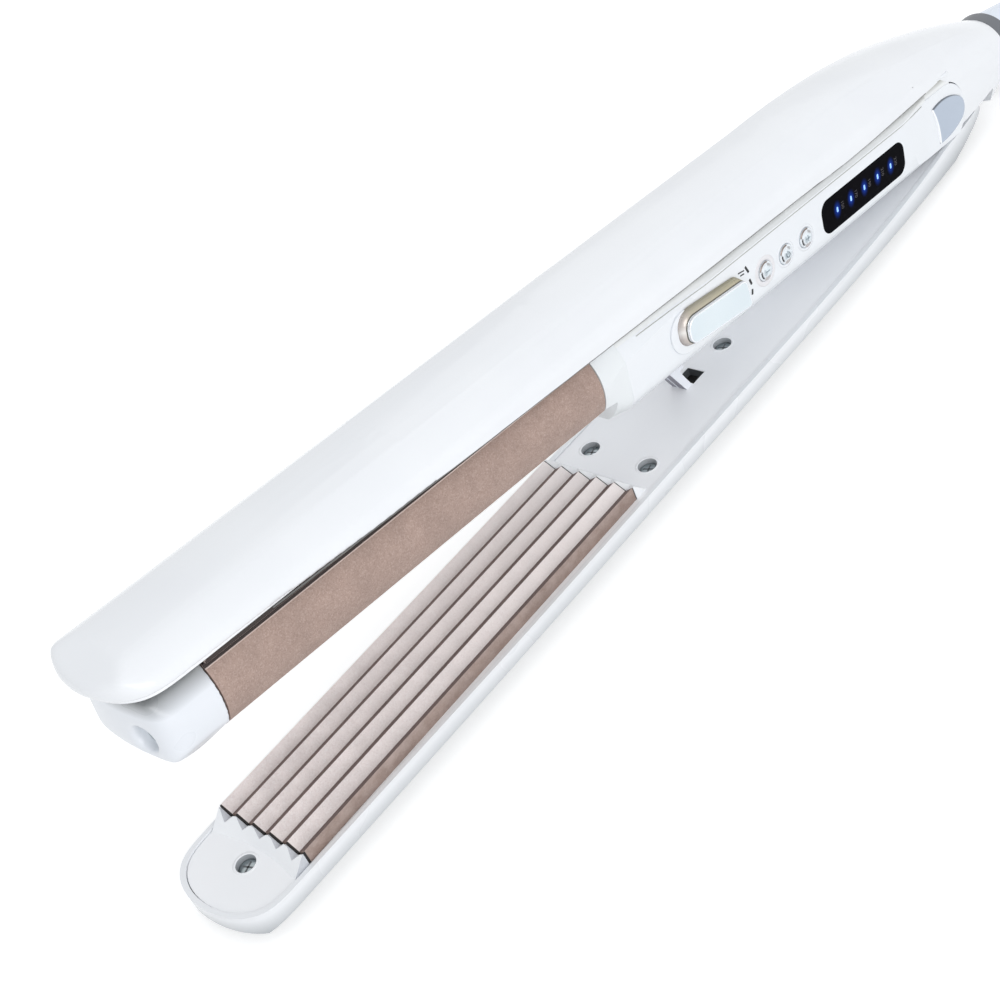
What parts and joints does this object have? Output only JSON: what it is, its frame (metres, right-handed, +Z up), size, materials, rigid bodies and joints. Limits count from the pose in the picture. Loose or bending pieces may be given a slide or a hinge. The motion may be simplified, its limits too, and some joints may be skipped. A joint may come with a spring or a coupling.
{
  "type": "hair straightener and curler",
  "caption": "Corded hair iron with a top arm and neck, a central curling barrel with a handle, and a spring-opened crimping arm on one hinge, with a mode lever, buttons and a cord swivel.",
  "frame": {"origin": "centre of the crimping arm's flat underside, on which the tool rests", "axes": "+X along the crimping arm from its tip to the cord, +Z up from the resting face, controls on -Y"},
  "size_m": [0.3289, 0.0335, 0.0741],
  "materials": {
    "white_shell": "gloss white moulding",
    "white_handle": "gloss white moulding",
    "white_collar": "satin white moulding",
    "white_liner": "satin white moulding",
    "white_seat": "satin white heat-proof moulding",
    "white_swivel": "gloss cool white moulding",
    "rose_barrel": "rose-gold speckled coating",
    "rose_plate": "pale rose-gold speckled coating",
    "chrome_trim": "bright chrome",
    "screw_steel": "zinc-plated steel",
    "pin_steel": "ground steel",
    "grey_ring": "dark slate grey",
    "black_plastic": "black nylon",
    "display_black": "smoked black window",
    "blue_light": "lit blue light",
    "board": "green board",
    "heater": "white ceramic"
  },
  "bodies": {
    "top_arm": {"top_cover": "white_shell", "top_arm_liner": "white_liner", "straight_plate": "rose_plate", "top_arm_heater": "heater", "top_arm_screws": "screw_steel", "swivel_ring": "grey_ring", "hinge_pin": "pin_steel", "opening_spring": "pin_steel"},
    "swivel": {"swivel_nose": "white_swivel"},
    "curler": {"handle_housing": "white_handle", "handle_deck": "white_liner", "heat_collar": "white_collar", "barrel_side_near": "rose_barrel", "barrel_side_far": "rose_barrel", "barrel_flat_plate": "rose_plate", "barrel_crimp_plate": "rose_plate", "barrel_end_cap": "white_collar", "end_cap_screws": "screw_steel", "barrel_heaters": "heater", "circuit_board": "board", "button_switches": "black_plastic", "display_window": "display_black", "display_lights": "blue_light", "hinge_cheek_near": "chrome_trim", "hinge_cheek_far": "chrome_trim", "lever_base": "white_handle", "deck_screws": "screw_steel"},
    "mode_lever": {"mode_lever": "chrome_trim"},
    "latch_slider": {"latch_slider": "black_plastic"},
    "minus_button": {"minus_button": "chrome_trim"},
    "power_button": {"power_button": "chrome_trim"},
    "plus_button": {"plus_button": "chrome_trim"},
    "crimp_arm": {"crimp_arm_cover": "white_shell", "crimp_arm_liner": "white_liner", "crimp_plate": "rose_plate", "front_plate_seat": "white_seat", "rear_plate_seat": "white_seat", "crimp_arm_heater": "heater", "crimp_arm_screws": "screw_steel", "latch_hook": "white_liner"}
  },
  "joints": [
    {"name": "straightening_hinge", "type": "hinge", "parent": "top_arm", "child": "curler", "pos_m": [0.14, 0, 0.0169], "axis": [0, -1, 0], "range_deg": [0, 6.5]},
    {"name": "crimping_hinge", "type": "hinge", "parent": "curler", "child": "crimp_arm", "pos_m": [0.14, 0, 0.0169], "axis": [0, 1, 0], "range_deg": [0, 8.16], "stiffness_Nm_per_rad": 4, "springref_deg": -11.46},
    {"name": "mode_lever_turn", "type": "hinge", "parent": "curler", "child": "mode_lever", "pos_m": [0.03082, 0, 0.03398], "axis": [0, -1, 0], "range_deg": [0, 15.2]},
    {"name": "latch_slide", "type": "slide", "parent": "curler", "child": "latch_slider", "axis": [0.9899, 0, -0.142], "range_m": [0, 0.00133]},
    {"name": "minus_button_press", "type": "slide", "parent": "curler", "child": "minus_button", "axis": [0, 1, 0], "range_m": [0, 0.0008], "stiffness_N_per_m": 400, "springref_m": -0.001},
    {"name": "power_button_press", "type": "slide", "parent": "curler", "child": "power_button", "axis": [0, 1, 0], "range_m": [0, 0.0008], "stiffness_N_per_m": 400, "springref_m": -0.001},
    {"name": "plus_button_press", "type": "slide", "parent": "curler", "child": "plus_button", "axis": [0, 1, 0], "range_m": [0, 0.0008], "stiffness_N_per_m": 400, "springref_m": -0.001},
    {"name": "cord_swivel", "type": "hinge", "parent": "top_arm", "child": "swivel", "pos_m": [0.19098, 0, 0.00959], "axis": [0.9899, 0, -0.142], "continuous": true}
  ],
  "couplings": [
    {"joint": "latch_slide", "follows": "mode_lever_turn", "m_per_rad": 0.005}
  ]
}
